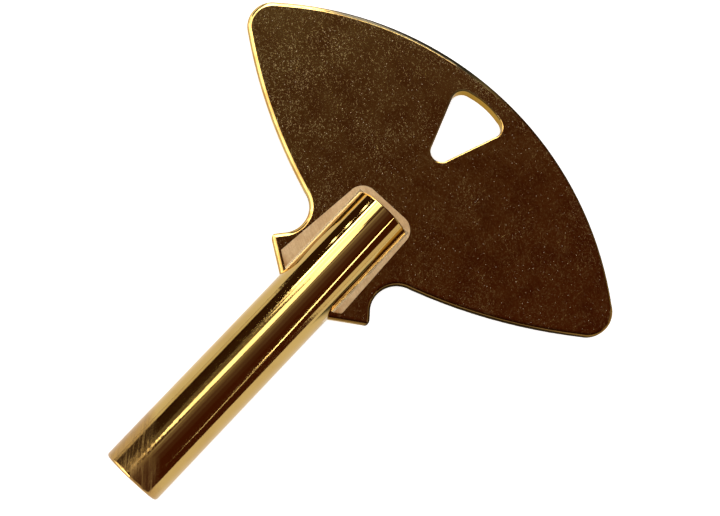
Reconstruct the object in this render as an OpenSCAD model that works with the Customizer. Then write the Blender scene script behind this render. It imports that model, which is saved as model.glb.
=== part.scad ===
// Winding key for a clock: a flat fan-shaped wing brazed into a slotted round barrel.
// The barrel axis lies on X with the socket mouth at x = 0, the wing spreads along Y
// and the front face of the wing looks along +Z. All sizes are in millimetres.

/* [Wing] */
// Length of the whole key from the socket mouth to the top of the wing
overall_len = 65.2; // [60:0.1:75]
// Width of the wing over its two tips
wing_span = 59.2; // [50:0.1:66]
// Radius of the outer edge of the wing
wing_r = 43.3; // [38:0.1:52]
// Thickness of the sheet
plate_t = 2.0; // [1.6:0.1:2.6]
// Round along the outer edges of the sheet
edge_r = 0.65; // [0.3:0.05:0.7]
// Radius of the wing tips
tip_r = 3.2; // [2.2:0.1:4]
// Radius of the gently bowed lower edges
under_r = 70.0; // [50:0.5:120]

/* [Notches and lugs] */
// Radius of the notch between wing and lug
notch_r = 3.3; // [2.4:0.1:4]
// Distance of the notch centres from the socket mouth
notch_x = 36.05; // [34.5:0.05:37.5]
// Width of the sheet left between the two notches
neck_w = 12.6; // [12:0.1:14]
// Width over the two lug points
lug_w = 15.8; // [15.2:0.1:16.4]
// Distance of the lug points below the notch centres
lug_drop = 3.4; // [3.2:0.05:4.2]
// Radius of the lug points
lug_r = 0.7; // [0.5:0.05:0.9]
// How far the lower lug edges fall back from the lug points to the side of the barrel
lug_fall = 3.0; // [2:0.05:4]
// How far the sheet runs on inside the slot, measured across the barrel
tongue_in = 1.0; // [0.5:0.1:2]

/* [Hang hole] */
// Distance of the centres of the upper rounds from the top of the wing
hole_drop = 4.0; // [3.6:0.05:6]
// Length from there to the centre of the lower round
hole_len = 6.55; // [5:0.05:8]
// Radius of the lower round
hole_low_r = 1.35; // [1:0.05:1.7]
// Distance between the centres of the upper rounds
hole_top_w = 4.5; // [4:0.1:6]
// Radius of the upper rounds
hole_top_r = 1.5; // [1:0.05:1.7]
// Radius of the bowed upper side
hole_bow_r = 10.0; // [8:0.5:16]
// Round along the rims of the hole
hole_edge_r = 0.2; // [0.1:0.05:0.3]

/* [Barrel] */
// Outside diameter of the barrel
barrel_d = 7.94; // [7.6:0.02:8.6]
// Length of the barrel
barrel_len = 43.9; // [42:0.1:46]
// Round on the rim of the socket mouth
mouth_round = 0.4; // [0.2:0.05:0.5]
// Round on the upper end of the barrel
end_round = 0.2; // [0.1:0.05:0.3]
// Gap of the slot round the sheet, filled with braze
braze_gap = 0.1; // [0.06:0.02:0.2]

/* [Socket] */
// Size of the square socket across its flats
socket_af = 4.5; // [4.2:0.05:4.7]
// Depth of the square
socket_depth = 15.0; // [10:0.5:18]
// How much wider than the flats the hole under the square is drilled
pilot_over = 0.1; // [0.05:0.05:0.3]
// Depth of the drilled hole to the edge of its cone
pilot_depth = 18.0; // [16:0.5:22]
// Point angle of the drill
drill_point = 118; // [90:1:140]
// Diameter of the lead-in cone at the mouth
lead_d = 6.1; // [5.6:0.1:6.3]
// Depth of the lead-in cone
lead_depth = 0.9; // [0.6:0.1:1.4]

/* [Braze beads] */
// Thickness of the braze washed over the sheet
bead_t = 0.12; // [0.08:0.02:0.2]
// Radius of the hollow where the braze climbs the barrel
cove_r = 0.5; // [0.3:0.05:0.7]
// Half width of the front bead by the lug, on the +Y side
front_foot = 5.85; // [5:0.05:6]
// Half width of the front bead by the upper end, on the +Y side
front_head = 4.75; // [4.4:0.05:5]
// Half width of the front bead by the lug, on the -Y side
front_foot_far = 4.85; // [4.6:0.05:5.5]
// Half width of the front bead by the upper end, on the -Y side
front_head_far = 4.45; // [4.4:0.05:4.8]
// Half width of the back bead by the lugs
back_foot = 5.3; // [4.8:0.05:5.8]
// Half width of the back bead by the upper end
back_head = 4.6; // [4.4:0.05:5]
// How far the beads run past the upper end of the barrel
bead_past = 1.25; // [1:0.05:2]
// Radius of the two upper corners of the beads
bead_corner = 2; // [1:0.1:2.2]
// Distance kept from the rounded lower edges of the lugs
bead_margin = 0.15; // [0.1:0.05:0.4]

/* [Hidden] */
$fn = 96;
barrel_r = barrel_d / 2;
pilot_d = socket_af + pilot_over;
half_t = plate_t / 2;
slot_w = plate_t + 2 * braze_gap;
// Amount by which cutters run past the faces that they cut
past = 1.0;
// Overlap of rounds with the edges that they blend into
meet = 0.02;
// Small bite that keeps hollows from ending in a knife edge
bite = 0.1;
// Depth by which the beads are drawn inside the barrel before it is cut out of them
bead_tuck = 1.2;
// How far the neck is drawn into the fan from the notch centres, in notch radii
neck_in = 3;

// Wing outline on the +Y side
wing_cx = overall_len - wing_r;
tip_y = wing_span / 2 - tip_r;
tip_x = wing_cx + sqrt(pow(wing_r - tip_r, 2) - pow(tip_y, 2));
tip = [tip_x, tip_y];
notch = [notch_x, neck_w / 2 + notch_r];
lug = [notch_x - lug_drop, lug_w / 2 - lug_r];
tip_a = atan2(tip_y, tip_x - wing_cx);

// Centre of the lower edge, touching the tip from outside and the notch from outside
tip_reach = under_r - tip_r;
notch_reach = under_r + notch_r;
tip_notch = norm(notch - tip);
along = (pow(tip_reach, 2) - pow(notch_reach, 2) + pow(tip_notch, 2)) / (2 * tip_notch);
aside = sqrt(pow(tip_reach, 2) - pow(along, 2));
to_notch = (notch - tip) / tip_notch;
under = tip + along * to_notch + aside * [-to_notch[1], to_notch[0]];
under_a0 = atan2(tip[1] - under[1], tip[0] - under[0]);
under_a1 = atan2(notch[1] - under[1], notch[0] - under[0]);

// Straight upper edge of the lug, touching the notch and the lug point from opposite sides
notch_lug = norm(lug - notch);
cross_a = atan2(lug[1] - notch[1], lug[0] - notch[0]) + acos((notch_r + lug_r) / notch_lug);
notch_end = notch + notch_r * dir(cross_a);
lug_start = lug - lug_r * dir(cross_a);

// Straight lower edge of the lug, from the lug point to the side of the barrel and on
base = [lug[0] - lug_fall, barrel_r];
base_lug = norm(lug - base);
base_a = atan2(lug[1] - base[1], lug[0] - base[0]) + asin(lug_r / base_lug);
lug_end = lug + lug_r * dir(base_a + 90);
tongue = base - dir(base_a) * tongue_in / sin(base_a);
slot_x = tongue[0] - braze_gap;

// Hang hole
hole_top_x = overall_len - hole_drop;
hole_low_x = hole_top_x - hole_len;
hole_top_y = hole_top_w / 2;
hole_bow_x = hole_top_x - sqrt(pow(hole_bow_r - hole_top_r, 2) - pow(hole_top_y, 2));
hole_run = norm([hole_len, hole_top_y]);
hole_a = atan2(hole_top_y, hole_len) + acos((hole_low_r - hole_top_r) / hole_run);
hole_bow_a = atan2(hole_top_y, hole_top_x - hole_bow_x);

// Hollows of the beads along the barrel
cove_z = half_t + bead_t + cove_r - bite;
cove_y = sqrt(pow(barrel_r + cove_r - bite, 2) - pow(cove_z, 2));
cove_top = cove_z * barrel_r / (barrel_r + cove_r);
cove_x = barrel_len + cove_r - bite;
bead_root = barrel_r - bead_tuck;
bead_inset = edge_r + bead_margin;

// Unit vector at an angle in the plane of the wing
function dir(a) = [cos(a), sin(a)];
// A point on the other side of the axis
function far(p) = [p[0], -p[1]];
// Point of the lower end of a bead at a distance from the axis
function bead_start(y) =
    let (p = base + bead_inset * dir(base_a - 90)) [p[0] + (y - p[1]) / tan(base_a), y];

// Flat piece of the sheet
module sheet() {
    translate([0, 0, -half_t]) linear_extrude(plate_t) children();
}

// Cut right through the sheet
module cut() {
    translate([0, 0, -half_t - past]) linear_extrude(plate_t + 2 * past) children();
}

// The same piece on both sides of the axis
module both_sides() {
    children();
    mirror([0, 1, 0]) children();
}

// Section of the sheet from x = 0 to an edge at x = w that is rounded on both faces
module edge_section(w, edge) {
    r = min(edge, w - bite);
    difference() {
        translate([0, -half_t]) square([w, plate_t]);
        for (s = [-1, 1])
            scale([1, s])
                difference() {
                    translate([w - r, half_t - r]) square(r + past);
                    translate([w - r, half_t - r]) circle(r = r);
                }
    }
}

// Section of a cut from x = 0 to x = w that leaves the sheet there with a rounded edge
module cut_section(w, edge) {
    difference() {
        translate([0, -half_t - past]) square([w + edge, plate_t + 2 * past]);
        translate([2 * w + edge, 0]) mirror([1, 0]) edge_section(w + edge, edge);
    }
}

// Round disc of the sheet with a rounded rim
module disc(r) {
    rotate_extrude() edge_section(r, edge_r);
}

// Round cut through the sheet that leaves a rounded rim
module round_cut(r, edge) {
    rotate_extrude() cut_section(r, edge);
}

// Straight run of a section from p to q, with the end of the section, at x = w, on that line
module run(p, q, w) {
    translate(p)
        rotate([0, 0, atan2(q[1] - p[1], q[0] - p[0])])
            rotate([90, 0, 90])
                linear_extrude(norm(q - p))
                    translate([-w, 0]) children();
}

// Piece of the sheet on the right of a rounded straight edge that runs on past p and q
module bar(p, q) {
    on = wing_r * (q - p) / norm(q - p);
    run(p - on, q + on, wing_r) edge_section(wing_r, edge_r);
}

// Half of the neck with its lug, before the notch is cut
module lug_side() {
    upper = -dir(cross_a);
    lower = dir(base_a + 90);
    on = past * dir(cross_a + 90);
    deep = notch_end - notch_r * upper;
    foot = [deep[0], -tongue[1]];
    wing_in = notch - neck_in * notch_r * dir(under_a1);
    intersection() {
        union() {
            cut() polygon([
                far(tongue), tongue, tongue + past * lower, lug + (lug_r + past) * lower,
                lug, lug + (lug_r + past) * upper,
                notch_end + past * upper + on, deep + on, foot + on
            ]);
            translate(lug) cut() circle(r = lug_r + meet);
        }
        bar(lug_start, notch_end);
        bar(tongue, lug_end);
    }
    sheet() polygon([foot, deep, notch_end, notch, wing_in, [tip_x, foot[1]]]);
}

// Fan of the wing with sharp tips, bounded by the outer and the two lower edges
module fan() {
    intersection() {
        translate([wing_cx, 0]) disc(wing_r);
        translate(under) disc(under_r);
        translate(far(under)) disc(under_r);
    }
}

// Whole sheet before the hang hole is cut
module blank() {
    difference() {
        union() {
            fan();
            both_sides() lug_side();
        }
        both_sides() {
            cut() polygon([tip, tip + wing_r * dir(tip_a), tip + wing_r * dir(under_a0)]);
            translate(notch) round_cut(notch_r + meet, edge_r);
        }
    }
    both_sides() translate(tip) disc(tip_r + meet);
}

// Rounded wedge through the sheet to hang the key by
module hang_hole() {
    low = [hole_low_x, 0];
    top = [hole_top_x, hole_top_y];
    bow = [hole_bow_x, 0];
    bow_out = bow + (hole_bow_r + past) * dir(hole_bow_a);
    side_w = max(hole_low_r, hole_top_r) + bite;
    translate(low) round_cut(hole_low_r + meet, hole_edge_r);
    both_sides() {
        translate(top) round_cut(hole_top_r + meet, hole_edge_r);
        run(low + hole_low_r * dir(hole_a), top + hole_top_r * dir(hole_a), side_w)
            cut_section(side_w, hole_edge_r);
    }
    intersection() {
        translate(bow) round_cut(hole_bow_r, hole_edge_r);
        cut() polygon([low, top, bow_out, far(bow_out), far(top)]);
    }
}

module wing_plate() {
    color([0.80, 0.62, 0.28])
        difference() {
            blank();
            hang_hole();
        }
}

// Solid bar of the barrel before drilling, with both rims rounded
module barrel_bar() {
    rotate([90, 0, 90])
        rotate_extrude() {
            translate([0, mouth_round])
                square([barrel_r, barrel_len - mouth_round - end_round]);
            square([barrel_r - mouth_round, barrel_len / 2]);
            translate([0, barrel_len / 2])
                square([barrel_r - end_round, barrel_len / 2]);
            translate([barrel_r - mouth_round, mouth_round]) circle(r = mouth_round);
            translate([barrel_r - end_round, barrel_len - end_round]) circle(r = end_round);
        }
}

// Square socket with its lead-in cone and the drilled hole under it
module socket() {
    cone_len = pilot_d / 2 / tan(drill_point / 2);
    translate([-past, -socket_af / 2, -socket_af / 2])
        cube([socket_depth + past, socket_af, socket_af]);
    rotate([0, 90, 0]) {
        translate([0, 0, -past]) cylinder(h = pilot_depth + past, d = pilot_d);
        translate([0, 0, pilot_depth]) cylinder(h = cone_len, d1 = pilot_d, d2 = 0);
        cylinder(h = lead_depth, d1 = lead_d, d2 = lead_d - 2 * lead_depth);
        translate([0, 0, -past]) cylinder(h = past, d = lead_d);
    }
}

// Straight slot sawn into the upper end
module slot(run_on) {
    translate([slot_x, -barrel_r - past, -slot_w / 2])
        cube([barrel_len - slot_x + run_on, barrel_d + 2 * past, slot_w]);
}

module barrel() {
    color([0.85, 0.66, 0.30])
        difference() {
            barrel_bar();
            socket();
            slot(past);
        }
}

// Thin layer of braze that fills the slot round the sheet
module slot_braze() {
    color([0.72, 0.60, 0.42])
        difference() {
            intersection() {
                barrel_bar();
                slot(0);
            }
            wing_plate();
        }
}

// Outline of one bead, wider on one side of the barrel than on the other
module bead_plan(foot, head, foot_far, head_far) {
    end_x = barrel_len + bead_past - bead_corner;
    polygon([
        bead_start(bead_root),
        bead_start(foot),
        [end_x, head],
        [end_x + bead_corner, head - bead_corner],
        [end_x + bead_corner, bead_corner - head_far],
        [end_x, -head_far],
        far(bead_start(foot_far)),
        far(bead_start(bead_root))
    ]);
    translate([end_x, head - bead_corner]) circle(r = bead_corner);
    translate([end_x, bead_corner - head_far]) circle(r = bead_corner);
}

// Bar with a hollow along one upper edge, reaching in from x = reach
module cove_section(reach) {
    difference() {
        translate([reach - overall_len, half_t]) square([overall_len, cove_top - half_t]);
        translate([reach, cove_z]) circle(r = cove_r);
    }
}

// Braze on the front side of the sheet: a thin wash with a hollow rising to the barrel
module bead(foot, head, foot_far, head_far) {
    difference() {
        union() {
            translate([0, 0, half_t])
                linear_extrude(bead_t) bead_plan(foot, head, foot_far, head_far);
            intersection() {
                translate([0, 0, half_t])
                    linear_extrude(barrel_r) bead_plan(foot, head, foot_far, head_far);
                rotate([90, 0, 90]) linear_extrude(overall_len) cove_section(cove_y);
                mirror([0, 1, 0])
                    rotate([90, 0, 90]) linear_extrude(overall_len) cove_section(cove_y);
                translate([0, barrel_r, 0])
                    rotate([90, 0, 0]) linear_extrude(barrel_d) cove_section(cove_x);
            }
        }
        barrel_bar();
    }
}

module front_bead() {
    color([0.74, 0.62, 0.46])
        bead(front_foot, front_head, front_foot_far, front_head_far);
}

module back_bead() {
    color([0.74, 0.62, 0.46])
        mirror([0, 0, 1])
            bead(back_foot, back_head, back_foot, back_head);
}

wing_plate();
barrel();
slot_braze();
front_bead();
back_bead();
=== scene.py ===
"""Dresses the clock key in brass and braze, and sets it on a pale studio floor in front of the camera."""

from __future__ import annotations

import logging
import math
from dataclasses import dataclass
from enum import Enum

import bpy
from mathutils import Matrix, Vector


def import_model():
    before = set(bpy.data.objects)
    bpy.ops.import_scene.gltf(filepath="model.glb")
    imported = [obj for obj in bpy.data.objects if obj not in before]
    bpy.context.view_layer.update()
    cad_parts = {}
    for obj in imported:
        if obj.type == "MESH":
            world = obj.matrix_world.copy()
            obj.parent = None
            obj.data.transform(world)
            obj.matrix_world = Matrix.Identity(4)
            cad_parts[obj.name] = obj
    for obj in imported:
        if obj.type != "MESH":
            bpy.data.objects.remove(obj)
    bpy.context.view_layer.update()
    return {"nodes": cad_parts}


LOG = logging.getLogger("clock_key")

Colour = tuple[float, float, float]
Point = tuple[float, float, float]
Span = tuple[float, float]
Socket = bpy.types.NodeSocket

MM = 0.001
X_AXIS: Point = (1.0, 0.0, 0.0)
Z_AXIS: Point = (0.0, 0.0, 1.0)


class Node(Enum):
    """The solids of the key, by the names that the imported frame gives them."""

    WING = "wing_plate"
    BARREL = "barrel"
    SLOT = "slot_braze"
    FRONT_BEAD = "front_bead"
    BACK_BEAD = "back_bead"


class Lit(Enum):
    """What a lamp lights: everything, or only some of the solids."""

    ALL = ()
    WING = (Node.WING,)
    BARREL = (Node.BARREL,)
    BEADS = (Node.FRONT_BEAD, Node.BACK_BEAD)
    BAR = (Node.BARREL, Node.FRONT_BEAD, Node.BACK_BEAD)


class Kind(Enum):
    """The kinds of input that a shared effect can have."""

    FLOAT = "NodeSocketFloat"
    VECTOR = "NodeSocketVector"


class Graph:
    """A node tree under construction, with short ways to add and wire its nodes."""

    def __init__(self, tree: bpy.types.NodeTree) -> None:
        """Takes the tree to fill and empties it.

        Args:
            tree: The node tree of a material, a world or a group.
        """
        self.tree = tree
        tree.nodes.clear()

    def add(self, kind: str, **values: object) -> bpy.types.Node:
        """Adds a node.

        Args:
            kind: Blender's type name of the node.
            values: Properties to set on it.

        Returns:
            The new node.
        """
        node = self.tree.nodes.new(kind)
        for name, value in values.items():
            setattr(node, name, value)
        return node

    def feed(self, socket: Socket, value: object) -> None:
        """Links an output to a socket, or sets the socket's own value.

        Args:
            socket: The input socket.
            value: An output socket, or a number, colour or vector.
        """
        if isinstance(value, Socket):
            self.tree.links.new(value, socket)
        else:
            socket.default_value = value

    def coords(self) -> Socket:
        """Returns the Object coordinates, in metres in the key's own frame."""
        return self.add("ShaderNodeTexCoord").outputs["Object"]

    def apart(self, vector: object) -> tuple[Socket, Socket, Socket]:
        """Takes a vector apart.

        Args:
            vector: Socket of the vector.

        Returns:
            The sockets of its x, y and z.
        """
        node = self.add("ShaderNodeSeparateXYZ")
        self.feed(node.inputs["Vector"], vector)
        return node.outputs["X"], node.outputs["Y"], node.outputs["Z"]

    def math(self, operation: str, a: object, b: object = 0.0, clamp: bool = False) -> Socket:
        """Adds a Math node.

        Args:
            operation: Blender's name of the operation.
            a: First number or socket.
            b: Second number or socket.
            clamp: Whether the result is held between 0 and 1.

        Returns:
            The result's socket.
        """
        node = self.add("ShaderNodeMath", operation=operation, use_clamp=clamp)
        self.feed(node.inputs[0], a)
        self.feed(node.inputs[1], b)
        return node.outputs[0]

    def join(self, operation: str, *values: object) -> Socket:
        """Joins two or more values by one operation, from the first to the last.

        Args:
            operation: Blender's name of the operation.
            values: Numbers or sockets.

        Returns:
            The result's socket.
        """
        total = values[0]
        for value in values[1:]:
            total = self.math(operation, total, value)
        return total

    def plus(self, *values: object) -> Socket:
        """Returns the sum of two or more values."""
        return self.join("ADD", *values)

    def times(self, *values: object) -> Socket:
        """Returns the product of two or more values."""
        return self.join("MULTIPLY", *values)

    def most(self, *values: object) -> Socket:
        """Returns the highest of two or more values."""
        return self.join("MAXIMUM", *values)

    def less(self, a: object, b: object) -> Socket:
        """Returns the first value less the second."""
        return self.math("SUBTRACT", a, b)

    def rest(self, value: object, whole: float = 1.0) -> Socket:
        """Returns what a value leaves of the whole, held between 0 and 1."""
        return self.math("SUBTRACT", whole, value, clamp=True)

    def reach(self, a: object, b: object) -> Socket:
        """Returns the distance that two values at right angles make."""
        return self.math("SQRT", self.plus(self.math("POWER", a, 2.0), self.math("POWER", b, 2.0)))

    def ramp(self, value: object, low: object, high: object) -> bpy.types.Node:
        """Adds a smooth map from a range to 0 and 1, held at its ends.

        Args:
            value: The value or its socket.
            low: Lower end of the range, or its socket.
            high: Upper end of the range, or its socket.

        Returns:
            The node, whose output is Result.
        """
        node = self.add("ShaderNodeMapRange", interpolation_type="SMOOTHSTEP")
        self.feed(node.inputs["Value"], value)
        self.feed(node.inputs["From Min"], low)
        self.feed(node.inputs["From Max"], high)
        return node

    def ease(self, value: object, ends: Span, to: Span = (0.0, 1.0)) -> Socket:
        """Maps a value smoothly from one range to another, and holds it at the ends.

        Args:
            value: The value or its socket.
            ends: Values at which the result starts and ends, in either order.
            to: Results at and beyond the two ends.

        Returns:
            The result's socket.
        """
        (low, to_low), (high, to_high) = sorted(zip(ends, to))
        node = self.ramp(value, low, high)
        node.inputs["To Min"].default_value = to_low
        node.inputs["To Max"].default_value = to_high
        return node.outputs["Result"]

    def blend(self, factor: object, a: object, b: object) -> Socket:
        """Mixes two colours.

        Args:
            factor: Share of the second colour, as a number or a socket.
            a: First colour or its socket.
            b: Second colour or its socket.

        Returns:
            The mixed colour's socket.
        """
        node = self.add("ShaderNodeMix", data_type="RGBA")
        self.feed(node.inputs[0], factor)
        for index, colour in ((6, a), (7, b)):
            self.feed(node.inputs[index], (*colour, 1.0) if isinstance(colour, tuple) else colour)
        return node.outputs[2]

    def noise(self, vector: object, scale: object, detail: float = 3.0, rough: float = 0.5) -> Socket:
        """Adds a noise texture.

        Args:
            vector: Socket of the coordinates.
            scale: Cells in a unit of the coordinates, or its socket.
            detail: Number of octaves.
            rough: Weight of the finer octaves.

        Returns:
            The socket of its value, about 0.5 in the mean.
        """
        node = self.add("ShaderNodeTexNoise")
        self.feed(node.inputs["Vector"], vector)
        self.feed(node.inputs["Scale"], scale)
        node.inputs["Detail"].default_value = detail
        node.inputs["Roughness"].default_value = rough
        return node.outputs["Fac"]

    def cells(self, vector: object, size: object, turn: float = 0.0) -> Socket:
        """Turns coordinates about z and measures them in cells.

        Args:
            vector: Socket of the coordinates.
            size: Length of a cell along each of its axes, in metres, or its socket.
            turn: Direction of a cell's first axis, in degrees from x.

        Returns:
            The socket of the new coordinates.
        """
        node = self.add("ShaderNodeMapping", vector_type="TEXTURE")
        self.feed(node.inputs["Vector"], vector)
        node.inputs["Rotation"].default_value = (0.0, 0.0, math.radians(turn))
        self.feed(node.inputs["Scale"], size)
        return node.outputs["Vector"]


def principled(name: str) -> tuple[bpy.types.Material, Graph, bpy.types.Node]:
    """Makes a material with one Principled shader at its output.

    Args:
        name: The material's name.

    Returns:
        The material, its tree and its shader.
    """
    made = bpy.data.materials.new(name)
    made.use_nodes = True
    graph = Graph(made.node_tree)
    shader = graph.add("ShaderNodeBsdfPrincipled")
    end = graph.add("ShaderNodeOutputMaterial")
    graph.feed(end.inputs["Surface"], shader.outputs["BSDF"])
    return made, graph, shader


def stand(at: Vector, right: Vector, back: Vector) -> Matrix:
    """Returns the matrix of an object at a point, whose own x and z axes are given."""
    return Matrix.Translation(at) @ Matrix((right, back.cross(right), back)).transposed().to_4x4()


class Effect:
    """A shader node group that several finishes share."""

    title = "effect"
    inputs: tuple[tuple[str, Kind, object], ...] = ()

    def __init__(self) -> None:
        """Builds the group once, with a coordinate input, its own numbers and one mask."""
        self.group = bpy.data.node_groups.new(self.title, "ShaderNodeTree")
        face = self.group.interface
        face.new_socket("Vector", in_out="INPUT", socket_type=Kind.VECTOR.value)
        for name, kind, value in self.inputs:
            face.new_socket(name, in_out="INPUT", socket_type=kind.value).default_value = value
        face.new_socket("Mask", in_out="OUTPUT", socket_type=Kind.FLOAT.value)
        graph = Graph(self.group)
        entry = graph.add("NodeGroupInput")
        leave = graph.add("NodeGroupOutput")
        graph.feed(leave.inputs["Mask"], self.wire(graph, entry))

    def wire(self, graph: Graph, entry: bpy.types.Node) -> Socket:
        """Wires the effect.

        Args:
            graph: The group's tree.
            entry: The group's input node.

        Returns:
            The socket of the mask.
        """
        raise NotImplementedError

    @staticmethod
    def crests(graph: Graph, entry: bpy.types.Node, value: Socket) -> Socket:
        """Keeps only what of a value lies above the group's own Start, in full from its Full on.

        Args:
            graph: The group's tree.
            entry: The group's input node.
            value: Socket of the value.

        Returns:
            The socket of the result, from 0 to 1.
        """
        return graph.ramp(value, entry.outputs["Start"], entry.outputs["Full"]).outputs["Result"]

    def use(self, graph: Graph, vector: object, **values: object) -> Socket:
        """Places the group in a material.

        Args:
            graph: The material's tree.
            vector: Socket of the coordinates.
            values: Numbers or vectors for the group's inputs.

        Returns:
            The socket of its mask.
        """
        node = graph.add("ShaderNodeGroup", node_tree=self.group)
        graph.feed(node.inputs["Vector"], vector)
        for name, value in values.items():
            node.inputs[name].default_value = value
        return node.outputs["Mask"]


class Scratches(Effect):
    """Fine lines along the first axis of the coordinates' cells."""

    title = "fine scratches"
    inputs = (("Start", Kind.FLOAT, 0.6), ("Full", Kind.FLOAT, 0.7))

    def wire(self, graph: Graph, entry: bpy.types.Node) -> Socket:
        """Keeps only the crests of a stretched noise. See Effect.wire."""
        return self.crests(graph, entry, graph.noise(entry.outputs["Vector"], scale=1.0, detail=2.0))


class Fuzz(Effect):
    """Short fine marks in all directions, as polish and years of handling leave them."""

    title = "handling fuzz"
    inputs = (
        ("Cell", Kind.VECTOR, (0.60 * MM, 0.15 * MM, 0.60 * MM)),
        ("Start", Kind.FLOAT, 0.56),
        ("Full", Kind.FLOAT, 0.74),
    )
    turns = (9.0, 56.0, 97.0, 141.0)
    finer = 0.003

    def wire(self, graph: Graph, entry: bpy.types.Node) -> Socket:
        """Lays the crests of four turned noises over each other. See Effect.wire."""
        mask: object = 0.0
        for turn in self.turns:
            run = graph.cells(entry.outputs["Vector"], entry.outputs["Cell"], turn)
            marks = graph.noise(run, scale=1.0 + self.finer * turn, detail=2.0)
            mask = graph.most(mask, self.crests(graph, entry, marks))
        return mask


class Clouds(Effect):
    """Soft uneven patches, such as tarnish and handling leave."""

    title = "tarnish clouds"
    inputs = (("Scale", Kind.FLOAT, 100.0), ("Start", Kind.FLOAT, 0.4), ("Full", Kind.FLOAT, 0.6))

    def wire(self, graph: Graph, entry: bpy.types.Node) -> Socket:
        """Spreads a noise of many octaves over a chosen range. See Effect.wire."""
        patches = graph.noise(entry.outputs["Vector"], entry.outputs["Scale"], detail=6.0, rough=0.62)
        return self.crests(graph, entry, patches)


class Specks(Effect):
    """Small scattered dots of dust, of uneven brightness."""

    title = "dust specks"
    inputs = (("Scale", Kind.FLOAT, 2000.0), ("Size", Kind.FLOAT, 0.12), ("Share", Kind.FLOAT, 0.5))
    rim_and_core: Span = (1.0, 0.55)
    brightness: Span = (0.25, 1.0)

    def wire(self, graph: Graph, entry: bpy.types.Node) -> Socket:
        """Draws a dot in some of the cells of a Voronoi texture. See Effect.wire."""
        cells = graph.add("ShaderNodeTexVoronoi", feature="F1")
        graph.feed(cells.inputs["Vector"], entry.outputs["Vector"])
        graph.feed(cells.inputs["Scale"], entry.outputs["Scale"])
        near = graph.math("DIVIDE", cells.outputs["Distance"], entry.outputs["Size"])
        pick = graph.add("ShaderNodeSeparateColor")
        graph.feed(pick.inputs["Color"], cells.outputs["Color"])
        chosen = graph.math("LESS_THAN", pick.outputs["Red"], entry.outputs["Share"])
        chosen = graph.times(chosen, graph.ease(pick.outputs["Green"], (0.0, 1.0), self.brightness))
        return graph.times(graph.ease(near, self.rim_and_core), chosen)


class Effects:
    """The shared groups, built once."""

    def __init__(self) -> None:
        """Builds every group."""
        self.scratches = Scratches()
        self.fuzz = Fuzz()
        self.clouds = Clouds()
        self.specks = Specks()


@dataclass(frozen=True)
class Wear:
    """How strongly one kind of mark shows on a finish, as shares of the mark's mask.

    Attributes:
        cover: How far its colour covers the metal's.
        matt: How much of the metal's mirror it takes.
        rough: The roughness that it adds.
        height: Its height in the bump.
    """

    cover: float = 0.0
    matt: float = 0.0
    rough: float = 0.0
    height: float = 0.0


@dataclass(frozen=True)
class Finish:
    """What every metal finish of the key has.

    Attributes:
        name: The material's name.
        clean: Colour of the bare metal.
        dull: Colour of its duller patches.
        smooth: Roughness at its smoothest.
        rough: Roughness where its marks are full.
    """

    name: str
    clean: Colour
    dull: Colour
    smooth: float
    rough: float

    def material(self, effects: Effects) -> bpy.types.Material:
        """Makes the finish's material.

        Args:
            effects: The shared node groups.

        Returns:
            The material.
        """
        made, graph, shader = principled(self.name)
        self.wire(graph, shader, effects)
        return made

    def wire(self, graph: Graph, shader: bpy.types.Node, effects: Effects) -> None:
        """Feeds the shader's colour, metal, roughness and normal.

        Args:
            graph: The material's tree.
            shader: Its Principled shader.
            effects: The shared node groups.
        """
        raise NotImplementedError

    @staticmethod
    def bump(graph: Graph, shader: bpy.types.Node, height: object, depth: float) -> None:
        """Feeds a height to the shader's normal.

        Args:
            graph: The material's tree.
            shader: Its shader.
            height: Socket of the height, from about 0 to 1.
            depth: Height of a full step, in metres.
        """
        node = graph.add("ShaderNodeBump")
        node.inputs["Strength"].default_value = 1.0
        node.inputs["Distance"].default_value = depth
        graph.feed(node.inputs["Height"], height)
        graph.feed(shader.inputs["Normal"], node.outputs["Normal"])


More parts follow.
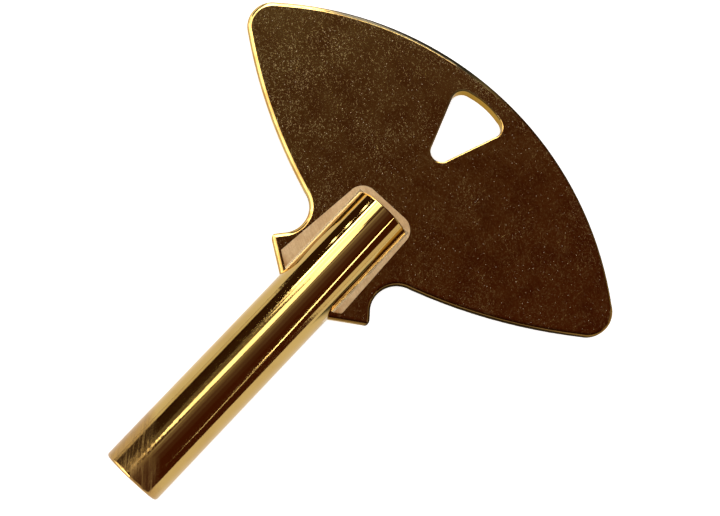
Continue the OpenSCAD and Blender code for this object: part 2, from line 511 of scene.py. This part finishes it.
@dataclass(frozen=True)
class WingBrass(Finish):
    """Polished sheet brass that was carried for years: fine fuzz in a thin film, hazy patches and dust.

    The left side, at high y, is more worn than the right. The outer bow has a ragged band of film. The
    hanging hole's wall carries painted shade, and so does the rounded edge: dark on the right and matt
    near black along the bow.
    """

    grazing: Colour = (1.0, 0.80, 0.45)
    dust: Colour = (0.76, 0.69, 0.58)
    film: Colour = (0.50, 0.40, 0.22)
    # Painted shade: darker colour of the hanging hole's wall, for the shade inside the hole.
    hole_shade: Colour = (0.30, 0.17, 0.035)
    # Painted shade: colour of the rounded edge on the right side, darker than the metal.
    edge: Colour = (0.13, 0.065, 0.015)
    # Painted shade: near-black colour of the rounded edge along the outer bow.
    bow_shade: Colour = (0.03, 0.025, 0.012)

    filmed: Wear = Wear(cover=0.70, matt=0.55)
    specked: Wear = Wear(cover=0.9, matt=0.9, rough=0.3, height=0.4)
    dotted: Wear = Wear(cover=0.5, matt=0.4)
    lined: Wear = Wear(matt=0.30, rough=0.20)
    fuzzed: Wear = Wear(height=0.5)
    mottled: Wear = Wear(cover=0.75)
    # Share of the painted shade on the hole's wall.
    hole_shading: Wear = Wear(cover=0.8)
    # Most of the painted shade on the rounded edge of the right side.
    rimmed: Wear = Wear(cover=0.9)

    fuzz_least: float = 0.22
    fuzz_in_haze: float = 0.50
    fuzz_at_left: float = 0.10
    film_in_haze: float = 0.60
    film_in_band: float = 0.60
    film_at_left: float = 0.26
    line_least: float = 0.35

    left_side: Span = (-2.0 * MM, 25.0 * MM)
    film_side: Span = (-22.0 * MM, 8.0 * MM)
    film_share: Span = (0.35, 1.0)
    film_middle: Span = (-8.0 * MM, 6.0 * MM)
    film_floor: Span = (0.30, 0.55)

    bow_x: float = 21.9 * MM
    bow_r: float = 42.75 * MM
    band: float = 1.3 * MM
    ragged: float = 2.4 * MM
    hole_x: float = 58.2 * MM
    hole_reach: float = 5.9 * MM
    hole_z: Span = (0.90 * MM, 0.80 * MM)
    # Depth and side of the painted shade on the rounded edge of the right side.
    rim_z: Span = (0.99 * MM, 0.87 * MM)
    rim_shade_side: Span = (5.0 * MM, -3.0 * MM)
    # Where the painted shade on the outer bow's edge lies, in x, y and depth.
    bow_shade_x: Span = (52.0 * MM, 55.0 * MM)
    bow_shade_right: Span = (-3.0 * MM, 5.0 * MM)
    bow_shade_left: Span = (25.0 * MM, 20.0 * MM)
    bow_shade_z: Span = (0.9998 * MM, 0.996 * MM)
    relief: float = 0.003 * MM

    def along_bow(self, graph: Graph, at: Socket, x: Socket, y: Socket) -> Socket:
        """Masks a ragged band along the outer bow of the wing.

        Args:
            graph: The material's tree.
            at: Socket of the coordinates.
            x: Socket of their x.
            y: Socket of their y.

        Returns:
            The socket of the mask.
        """
        out = graph.reach(graph.less(x, self.bow_x), y)
        out = graph.plus(out, graph.times(graph.noise(at, scale=300.0, detail=5.0, rough=0.7), self.ragged))
        full = self.bow_r + self.ragged / 2
        return graph.ease(out, (full - self.band, full))

    def in_hole(self, graph: Graph, x: Socket, y: Socket, depth: Socket) -> Socket:
        """Masks the wall of the hanging hole, which carries painted shade.

        Args:
            graph: The material's tree.
            x: Socket of the coordinates' x.
            y: Socket of their y.
            depth: Socket of the distance from the sheet's middle.

        Returns:
            The socket of the mask.
        """
        along = graph.math("ABSOLUTE", graph.less(x, self.hole_x))
        along = graph.math("LESS_THAN", along, self.hole_reach)
        across = graph.math("LESS_THAN", graph.math("ABSOLUTE", y), self.hole_reach)
        return graph.times(graph.ease(depth, self.hole_z), graph.times(along, across))

    def wire(self, graph: Graph, shader: bpy.types.Node, effects: Effects) -> None:
        """Feeds the shader of the sheet. See Finish.wire."""
        shader.inputs["Specular Tint"].default_value = (*self.grazing, 1.0)
        at = graph.coords()
        x, y, z = graph.apart(at)
        depth = graph.math("ABSOLUTE", z)

        haze = effects.clouds.use(graph, at, Scale=130.0, Start=0.44, Full=0.70)
        mottle = effects.clouds.use(graph, at, Scale=300.0, Start=0.42, Full=0.64)
        marks = effects.fuzz.use(graph, at, Cell=(0.46 * MM, 0.11 * MM, 0.46 * MM), Start=0.60, Full=0.76)
        specks = effects.specks.use(graph, at, Scale=2600.0, Size=0.115, Share=0.85)
        dots = effects.specks.use(graph, at, Scale=4100.0, Size=0.14, Share=0.60)
        long_cells = graph.cells(at, (3.4 * MM, 0.20 * MM, 3.4 * MM), turn=43.0)
        short_cells = graph.cells(at, (1.6 * MM, 0.14 * MM, 1.6 * MM), turn=-12.0)
        line = effects.scratches.use(graph, long_cells, Start=0.67, Full=0.80)
        hair = effects.scratches.use(graph, short_cells, Start=0.67, Full=0.80)
        lines = graph.math("MULTIPLY", graph.most(line, hair), graph.plus(self.line_least, marks), clamp=True)

        left = graph.ease(y, self.left_side)
        hazy, worn = graph.times(haze, self.fuzz_in_haze), graph.times(left, self.fuzz_at_left)
        fuzz = graph.times(marks, graph.plus(hazy, worn, self.fuzz_least))
        band = graph.times(self.along_bow(graph, at, x, y), self.film_in_band)
        cover = graph.plus(graph.times(haze, self.film_in_haze), band)
        cover = graph.times(cover, graph.ease(y, self.film_side, self.film_share))
        cover = graph.plus(cover, graph.times(left, self.film_at_left))
        film = graph.times(marks, graph.plus(cover, graph.ease(y, self.film_middle, self.film_floor)))

        inside = self.in_hole(graph, x, y, depth)
        # Painted shade: the rounded edge on the right side of the wing is darkened to the edge colour.
        rim = graph.times(graph.ease(depth, self.rim_z), graph.rest(inside, self.rimmed.cover))
        rim = graph.times(rim, graph.ease(y, self.rim_shade_side))
        # Painted shade: the edge along the outer bow is made matt and near black, so it mirrors no light.
        bow = graph.times(graph.ease(y, self.bow_shade_left), graph.ease(x, self.bow_shade_x))
        bow = graph.times(bow, graph.ease(y, self.bow_shade_right), graph.rest(inside))
        bow = graph.times(bow, graph.ease(depth, self.bow_shade_z))

        colour = graph.blend(graph.times(mottle, self.mottled.cover), self.clean, self.dull)
        colour = graph.blend(graph.math("MULTIPLY", film, self.filmed.cover, clamp=True), colour, self.film)
        colour = graph.blend(graph.times(specks, self.specked.cover), colour, self.dust)
        colour = graph.blend(graph.times(dots, self.dotted.cover), colour, self.dust)
        # Painted shade: the wall of the hanging hole is darkened.
        colour = graph.blend(graph.times(inside, self.hole_shading.cover), colour, self.hole_shade)
        colour = graph.blend(rim, colour, self.edge)
        graph.feed(shader.inputs["Base Color"], graph.blend(bow, colour, self.bow_shade))

        shares = ((specks, self.specked), (lines, self.lined), (film, self.filmed), (dots, self.dotted))
        # The painted shade along the bow also takes away the metal's mirror.
        matt = graph.most(*(graph.times(mask, wear.matt) for mask, wear in shares), bow)
        graph.feed(shader.inputs["Metallic"], graph.rest(graph.times(matt, graph.rest(inside))))

        rough = graph.plus(self.smooth, graph.times(fuzz, self.rough - self.smooth))
        rough = graph.plus(rough, graph.times(lines, self.lined.rough))
        rough = graph.math("ADD", rough, graph.times(specks, self.specked.rough), clamp=True)
        graph.feed(shader.inputs["Roughness"], rough)

        height = graph.less(graph.noise(at, scale=2600.0), graph.times(fuzz, self.fuzzed.height))
        height = graph.plus(height, graph.times(specks, self.specked.height))
        self.bump(graph, shader, height, self.relief)


@dataclass(frozen=True)
class BarrelBrass(Finish):
    """Turned and polished brass with a fine grain, scuffed where it is pushed on the arbor.

    The grain fades toward the wing, small dents gather toward the mouth, and the scuffed part ends in a
    ragged slant.
    """

    scuffed: Colour = (0.40, 0.23, 0.065)

    hazed: Wear = Wear(cover=0.5, rough=0.03)
    lined: Wear = Wear(rough=0.06)
    specked: Wear = Wear(rough=0.15)
    rubbed: Wear = Wear(cover=0.8, matt=0.30, rough=0.14, height=0.6)

    scuff_x: Span = (6.0 * MM, 3.8 * MM)
    slant: float = 0.89
    ragged: float = 1.4 * MM
    rub_least: float = 0.25
    grain_x: Span = (37.0 * MM, 28.0 * MM)
    grain_share: Span = (0.06, 1.0)
    dent_x: Span = (18.0 * MM, 7.0 * MM)
    dent_share: Span = (0.0, 1.6)
    relief: float = 0.0018 * MM

    def wire(self, graph: Graph, shader: bpy.types.Node, effects: Effects) -> None:
        """Feeds the shader of the bar. See Finish.wire."""
        at = graph.coords()
        x, y, _ = graph.apart(at)

        haze = effects.clouds.use(graph, at, Scale=160.0, Start=0.45, Full=0.72)
        fuzz = effects.fuzz.use(graph, at, Cell=(0.40 * MM, 0.13 * MM, 0.40 * MM), Start=0.52, Full=0.72)
        specks = effects.specks.use(graph, at, Scale=2100.0, Size=0.12, Share=0.35)
        line_cells = graph.cells(at, (5.0 * MM, 0.25 * MM, 0.25 * MM), turn=2.0)
        rub_cells = graph.cells(at, (3.0 * MM, 0.26 * MM, 3.0 * MM), turn=40.0)
        lines = effects.scratches.use(graph, line_cells, Start=0.68, Full=0.82)
        strokes = effects.scratches.use(graph, rub_cells, Start=0.38, Full=0.66)

        grain = graph.ease(x, self.grain_x, self.grain_share)
        edge = graph.less(x, graph.times(y, self.slant))
        edge = graph.plus(edge, graph.times(graph.noise(at, scale=700.0), self.ragged))
        scuff = graph.ease(edge, self.scuff_x)
        rub = graph.plus(self.rub_least, graph.times(strokes, 1.0 - self.rub_least))
        rub = graph.times(scuff, rub)

        colour = graph.blend(graph.times(haze, self.hazed.cover), self.clean, self.dull)
        colour = graph.blend(graph.times(scuff, self.rubbed.cover), colour, self.scuffed)
        graph.feed(shader.inputs["Base Color"], colour)
        graph.feed(shader.inputs["Metallic"], graph.rest(graph.times(rub, self.rubbed.matt)))

        rough = graph.times(fuzz, self.rough - self.smooth)
        rough = graph.plus(rough, graph.times(haze, self.hazed.rough), graph.times(lines, self.lined.rough))
        rough = graph.plus(graph.times(rough, grain), graph.times(specks, self.specked.rough))
        rough = graph.plus(rough, graph.times(rub, self.rubbed.rough))
        graph.feed(shader.inputs["Roughness"], graph.math("ADD", self.smooth, rough, clamp=True))

        dents = graph.plus(grain, graph.ease(x, self.dent_x, self.dent_share))
        height = graph.times(graph.noise(at, scale=2200.0), dents)
        height = graph.plus(height, graph.times(rub, self.rubbed.height))
        self.bump(graph, shader, height, self.relief)


@dataclass(frozen=True)
class BrazeWash(Finish):
    """Matt tan braze with file marks, glazed brown where the last of it ran out by the lugs.

    The cove along the bar is not filed, so it is bright and smooth.
    """

    glaze: Colour = (0.36, 0.18, 0.06)
    groove: Colour = (0.46, 0.29, 0.12)
    flow: Colour = (0.70, 0.57, 0.34)

    brushed: Wear = Wear(cover=0.40)
    fuzzed: Wear = Wear(cover=0.35)
    glazed: Wear = Wear(cover=0.85)
    coved: Wear = Wear(cover=0.9)

    glaze_x: Span = (32.5 * MM, 31.5 * MM)
    glaze_sheen: float = 0.45
    ragged: float = 1.2 * MM
    bar_r: float = 3.97 * MM
    bar_end: float = 43.9 * MM
    cove_off: Span = (0.28 * MM, 0.14 * MM)
    cove_sheen: float = 0.68
    filed_off: Span = (0.28 * MM, 0.728 * MM)
    metal_least: float = 0.30
    sheen_polish: float = 0.42
    relief: float = 0.010 * MM

    def wire(self, graph: Graph, shader: bpy.types.Node, effects: Effects) -> None:
        """Feeds the shader of the braze. See Finish.wire."""
        at = graph.coords()
        x, y, z = graph.apart(at)

        clouds = effects.clouds.use(graph, at, Scale=420.0, Start=0.38, Full=0.68)
        fuzz = effects.fuzz.use(graph, at, Cell=(0.40 * MM, 0.12 * MM, 0.40 * MM), Start=0.50, Full=0.72)
        file_cells = graph.cells(at, (2.4 * MM, 0.18 * MM, 2.4 * MM), turn=64.0)
        brush = effects.scratches.use(graph, file_cells, Start=0.44, Full=0.62)

        edge = graph.plus(x, graph.times(graph.noise(at, scale=700.0), self.ragged))
        glazed = graph.ease(edge, self.glaze_x)
        off = graph.less(graph.reach(y, z), self.bar_r)
        off = graph.most(off, graph.less(x, self.bar_end))
        cove = graph.ease(off, self.cove_off)
        sheen = graph.most(graph.times(glazed, self.glaze_sheen), graph.times(cove, self.cove_sheen))

        colour = graph.blend(clouds, self.clean, self.dull)
        colour = graph.blend(graph.times(brush, self.brushed.cover), colour, self.groove)
        colour = graph.blend(graph.times(fuzz, self.fuzzed.cover), colour, self.glaze)
        colour = graph.blend(graph.times(glazed, self.glazed.cover), colour, self.glaze)
        colour = graph.blend(graph.times(cove, self.coved.cover), colour, self.flow)
        graph.feed(shader.inputs["Base Color"], colour)
        graph.feed(shader.inputs["Metallic"], graph.plus(sheen, self.metal_least))

        rough = graph.plus(self.smooth, graph.times(clouds, self.rough - self.smooth))
        rough = graph.math("SUBTRACT", rough, graph.times(sheen, self.sheen_polish), clamp=True)
        graph.feed(shader.inputs["Roughness"], rough)

        height = graph.plus(brush, graph.noise(at, scale=2500.0, detail=2.0))
        height = graph.times(height, graph.ease(off, self.filed_off))
        self.bump(graph, shader, height, self.relief)


WING_BRASS = WingBrass(
    "wing brass", clean=(0.52, 0.37, 0.12), dull=(0.37, 0.19, 0.045), smooth=0.11, rough=0.27
)
BARREL_BRASS = BarrelBrass(
    "barrel brass", clean=(0.51, 0.35, 0.11), dull=(0.44, 0.28, 0.08), smooth=0.03, rough=0.11
)
BRAZE_WASH = BrazeWash(
    "braze wash", clean=(0.64, 0.46, 0.24), dull=(0.51, 0.34, 0.16), smooth=0.42, rough=0.58
)


@dataclass
class Key:
    """The key itself: each solid keeps its shape and takes its finish."""

    nodes: dict[str, bpy.types.Object]

    def dress(self, node: Node, material: bpy.types.Material) -> None:
        """Puts a finish on a solid.

        Args:
            node: Which solid.
            material: Its finish.
        """
        piece = self.nodes[node.value]
        for slot in piece.material_slots:
            slot.material = material
        LOG.info("dressed %s in %s", piece.name, material.name)


@dataclass(frozen=True)
class Softbox:
    """A lamp that faces the key: a card for the brass to mirror, or a wash for what is matt.

    Attributes:
        name: The lamp's name.
        toward: Direction from the key to the lamp.
        run: Direction of its first side, as far as that lies across the view to it.
        along: Angle that it spans along its first side, in degrees as seen from the key.
        across: Angle that it spans along its other side.
        radiance: Its brightness.
        only: What it lights.
        distance: How far from the key it hangs, in metres.
        rounded: Whether it is an ellipse.
        card: Whether it is a card.
        colour: Colour of its light.
    """

    name: str
    toward: Point
    run: Point
    along: float
    across: float
    radiance: float
    only: Lit = Lit.ALL
    distance: float = 1.6
    rounded: bool = False
    card: bool = True
    colour: Colour = (1.0, 0.97, 0.92)

    def side(self, angle: float) -> float:
        """Returns the length that spans an angle, in degrees, at the lamp's distance."""
        return 2 * self.distance * math.tan(math.radians(angle) / 2)

    def build(self, target: Vector, nodes: dict[str, bpy.types.Object]) -> bpy.types.Object:
        """Hangs the lamp.

        Args:
            target: The point that it faces.
            nodes: The solids of the key by name.

        Returns:
            The lamp object.
        """
        back = Vector(self.toward).normalized()
        right = (Vector(self.run) - back * back.dot(Vector(self.run))).normalized()
        lamp = bpy.data.lights.new(self.name, "AREA")
        lamp.shape = "ELLIPSE" if self.rounded else "RECTANGLE"
        lamp.size, lamp.size_y = self.side(self.along), self.side(self.across)
        area = lamp.size * lamp.size_y * (math.pi / 4 if self.rounded else 1.0)
        lamp.energy = math.pi * area * self.radiance
        lamp.color = self.colour
        hung = bpy.data.objects.new(self.name, lamp)
        hung.matrix_world = stand(target + back * self.distance, right, back)
        hung.visible_camera = False
        hung.visible_glossy = self.card
        hung.visible_diffuse = not self.card
        bpy.context.scene.collection.objects.link(hung)
        if self.only is not Lit.ALL:
            lit = bpy.data.collections.new(f"lit by {self.name}")
            for node in self.only.value:
                lit.objects.link(nodes[node.value])
            hung.light_linking.receiver_collection = lit
        return hung


WASH = Softbox("floor wash", Z_AXIS, X_AXIS, 100.0, 100.0, 1.05, card=False, colour=(1.0, 0.99, 0.98))
CARDS = (
    Softbox(
        "long strip", (0.078, 0.272, 0.959), (0.10, 0.076, -0.021), 12.5, 16.0, 3.4, Lit.BAR, rounded=True
    ),
    Softbox("upper strip", (0.21, 0.44, 0.873), (1.0, 0.1, -0.3), 10.0, 18.0, 3.4, Lit.BAR),
    Softbox("strip skirt", (0.12, 0.42, 0.90), (0.22, 0.21, -0.10), 24.0, 26.0, 0.13, Lit.BAR, 1.7),
    Softbox(
        "right skirt", (0.10, -0.03, 0.995), (1.0, 0.0, -0.10), 22.0, 18.0, 0.06, Lit.BAR, 1.7, rounded=True
    ),
    Softbox("right glow", (0.16, 0.0, 0.987), (1.0, 0.0, -0.16), 44.0, 13.0, 0.11, Lit.BAR),
    Softbox("inner glow", (0.16, 0.08, 0.984), (1.0, 0.0, -0.16), 40.0, 6.0, 0.22, Lit.BAR, 1.65),
    Softbox("outer glow", (0.16, -0.24, 0.957), X_AXIS, 44.0, 14.0, 0.045, Lit.BAR, 1.7),
    Softbox("faint glow", (0.16, -0.40, 0.902), X_AXIS, 44.0, 22.0, 0.018, Lit.BAR, 1.75),
    Softbox("left strip", (0.22, 0.69, 0.69), (1.0, -0.05, -0.25), 11.0, 5.0, 12.0, Lit.BAR),
    Softbox("left fill", (0.22, 0.60, 0.77), (1.0, 0.0, -0.25), 12.0, 12.0, 2.6, Lit.BAR, 1.65),
    Softbox("right strip", (0.143, -0.776, 0.617), (0.19, 0.20, 0.26), 17.0, 1.4, 7.0, Lit.BAR),
    Softbox("right strip tail", (0.02, -0.89, 0.45), (0.08, 0.048, 0.082), 7.0, 1.2, 1.8, Lit.BAR),
    Softbox("right cove card", (0.15, -0.80, 0.58), X_AXIS, 15.0, 12.0, 14.0, Lit.BEADS),
    Softbox("right low panel", (0.22, -0.96, 0.15), (0.96, 0.22, 0.0), 12.0, 16.0, 1.0),
    Softbox("left low panel", (0.02, 0.985, 0.12), (0.985, -0.02, 0.0), 11.0, 13.0, 1.0),
    Softbox("tip panel", (-0.17, 0.86, 0.47), (1.0, 0.2, 0.0), 24.0, 54.0, 3.0, Lit.WING),
    Softbox("high tip panel", (0.15, 0.57, 0.80), (1.0, -0.25, 0.0), 34.0, 16.0, 4.0, Lit.WING),
    Softbox("low tip panel", (0.22, 0.96, 0.12), (1.0, -0.23, 0.0), 28.0, 12.0, 2.4, Lit.WING),
    Softbox("left panel", (-0.66, 0.72, 0.27), (0.74, 0.67, 0.0), 50.0, 30.0, 3.5),
    Softbox("left upper panel", (-0.45, 0.576, 0.68), (0.788, 0.616, 0.0), 34.0, 32.0, 2.6),
    Softbox("far panel", (0.66, 0.55, 0.50), (-0.64, 0.77, 0.0), 28.0, 56.0, 8.0),
    Softbox("mouth panel", (-0.85, -0.30, 0.45), (-0.30, 0.85, 0.0), 46.0, 26.0, 1.2, Lit.BAR),
    Softbox("mouth spark", (-0.82, 0.30, 0.49), (0.34, 0.94, 0.0), 32.0, 30.0, 9.0, Lit.BARREL),
    Softbox("corner panel", (0.62, -0.72, 0.26), (0.72, 0.62, 0.0), 26.0, 18.0, 0.8),
)
WINDOWS = tuple(
    Softbox(f"window {number}", (x, 0.841, 0.505), X_AXIS, 0.24, 6.0, 10.0, Lit.BAR)
    for number, x in enumerate((0.2087, 0.1892, 0.1722), start=1)
)


@dataclass(frozen=True)
class Studio:
    """A pale floor under the key, dim warm surroundings, lamps and the camera.

    The floor's patch under the wing is dark to the brass that mirrors it and pale to the camera. The patch
    starts at shade_x, ends at the slanted line of shade_rise, and leaves out what shows in the hole.
    """

    lamps: tuple[Softbox, ...] = (WASH, *CARDS, *WINDOWS)
    target: Point = (0.036, 0.0, 0.0)

    floor_z: float = -3.97 * MM
    floor_r: float = 2.2
    floor_sides: int = 96
    floor_colours: tuple[Colour, Colour] = ((0.86, 0.86, 0.86), (0.88, 0.88, 0.88))
    floor_glow: Colour = (0.5, 0.5, 0.5)
    floor_seen: Colour = (0.8, 0.8, 0.8)
    shade_colour: Colour = (0.10, 0.10, 0.10)
    shade_glow: Colour = (0.02, 0.02, 0.02)
    shade_x: float = 34.0 * MM
    shade_rise: float = 0.69
    shade_start: Span = (30.0 * MM, 33.0 * MM)
    shade_left: Span = (8.0 * MM, 4.0 * MM)
    shade_right: Span = (-33.0 * MM, -31.0 * MM)
    hole_x: float = 59.0 * MM
    hole_r: Span = (4.5 * MM, 6.0 * MM)

    room_right: Colour = (0.078, 0.017, 0.004)
    room_left: Colour = (0.076, 0.038, 0.011)
    room_far_left: Colour = (0.045, 0.018, 0.006)
    room_seen: Colour = (0.95, 0.95, 0.95)
    leftward: Span = (-0.08, 0.40)
    far_leftward: Span = (0.50, 0.72)

    eye: Point = (0.008321, -0.016953, 0.164667)
    aim: Point = (0.037928, -0.001708, 0.0)
    upward: Point = (0.713588, 0.674109, 0.190709)
    lens: float = 68.553
    sensor: float = 36.0
    clip: Span = (0.01, 10.0)

    def under_wing(self, graph: Graph, at: Socket, seen: Socket) -> Socket:
        """Masks the floor in the wing's shade, for the brass that mirrors it and not for the camera.

        Args:
            graph: The floor's tree.
            at: Socket of the coordinates.
            seen: Socket that is 1 for the camera.

        Returns:
            The socket of the mask.
        """
        x, y, _ = graph.apart(at)
        rise = graph.times(graph.less(x, self.shade_x), self.shade_rise)
        left = graph.ease(graph.less(y, rise), self.shade_left)
        start = graph.ease(x, self.shade_start)
        right = graph.ease(y, self.shade_right)
        hole = graph.ease(graph.reach(graph.less(x, self.hole_x), y), self.hole_r)
        return graph.times(left, start, right, hole, graph.rest(seen))

    def floor(self) -> bpy.types.Object:
        """Lays the floor.

        Returns:
            The floor.
        """
        bpy.ops.object.select_all(action="DESELECT")
        middle = (0.0, 0.0, self.floor_z)
        bpy.ops.mesh.primitive_circle_add(
            vertices=self.floor_sides, radius=self.floor_r, fill_type="NGON", location=middle
        )
        piece = bpy.context.object
        piece.name = "studio_floor"
        bpy.ops.object.transform_apply(location=True, rotation=True, scale=True)
        pale, graph, shader = principled("pale floor")
        shader.inputs["Specular IOR Level"].default_value = 0.0
        shader.inputs["Roughness"].default_value = 0.9
        shader.inputs["Emission Strength"].default_value = 1.0
        at = graph.coords()
        seen = graph.add("ShaderNodeLightPath").outputs["Is Camera Ray"]
        shade = self.under_wing(graph, at, seen)
        base = graph.blend(graph.noise(at, scale=30.0, detail=4.0), *self.floor_colours)
        glow = graph.blend(shade, self.floor_glow, self.shade_glow)
        graph.feed(shader.inputs["Base Color"], graph.blend(shade, base, self.shade_colour))
        graph.feed(shader.inputs["Emission Color"], graph.blend(seen, glow, self.floor_seen))
        piece.data.materials.append(pale)
        return piece

    def surroundings(self) -> None:
        """Makes the room: dim and warm to the brass, pale where the camera sees past the floor."""
        world = bpy.data.worlds.new("studio")
        bpy.context.scene.world = world
        world.use_nodes = True
        graph = Graph(world.node_tree)
        seen = graph.add("ShaderNodeLightPath").outputs["Is Camera Ray"]
        _, y, _ = graph.apart(graph.add("ShaderNodeTexCoord").outputs["Generated"])
        room = graph.blend(graph.ease(y, self.leftward), self.room_right, self.room_left)
        room = graph.blend(graph.ease(y, self.far_leftward), room, self.room_far_left)
        sky = graph.add("ShaderNodeBackground")
        graph.feed(sky.inputs["Color"], graph.blend(seen, room, self.room_seen))
        end = graph.add("ShaderNodeOutputWorld")
        graph.feed(end.inputs["Surface"], sky.outputs["Background"])

    def camera(self) -> bpy.types.Object:
        """Sets up the camera at the photograph's viewing angle.

        Returns:
            The camera object.
        """
        eye = Vector(self.eye)
        back = (eye - Vector(self.aim)).normalized()
        right = Vector(self.upward).cross(back).normalized()
        data = bpy.data.cameras.new("camera")
        data.lens = self.lens
        data.sensor_width = self.sensor
        data.clip_start, data.clip_end = self.clip
        camera = bpy.data.objects.new("camera", data)
        camera.matrix_world = stand(eye, right, back)
        bpy.context.scene.collection.objects.link(camera)
        bpy.context.scene.camera = camera
        return camera

    def build(self, nodes: dict[str, bpy.types.Object]) -> None:
        """Sets up floor, surroundings, lamps and camera.

        Args:
            nodes: The solids of the key by name.
        """
        self.floor()
        self.surroundings()
        for lamp in self.lamps:
            lamp.build(Vector(self.target), nodes)
            LOG.info("hung %s", lamp.name)
        self.camera()
        scene = bpy.context.scene
        scene.view_settings.view_transform = "Standard"
        scene.view_settings.look = "None"


def main() -> None:
    """Loads the frame, dresses the key, and sets up the studio."""
    logging.basicConfig(level=logging.INFO, format="%(message)s")
    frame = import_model()
    effects = Effects()
    wing = WING_BRASS.material(effects)
    barrel = BARREL_BRASS.material(effects)
    braze = BRAZE_WASH.material(effects)
    key = Key(frame["nodes"])
    key.dress(Node.WING, wing)
    key.dress(Node.BARREL, barrel)
    for node in (Node.SLOT, Node.FRONT_BEAD, Node.BACK_BEAD):
        key.dress(node, braze)
    Studio().build(frame["nodes"])


if __name__ == "__main__":
    main()
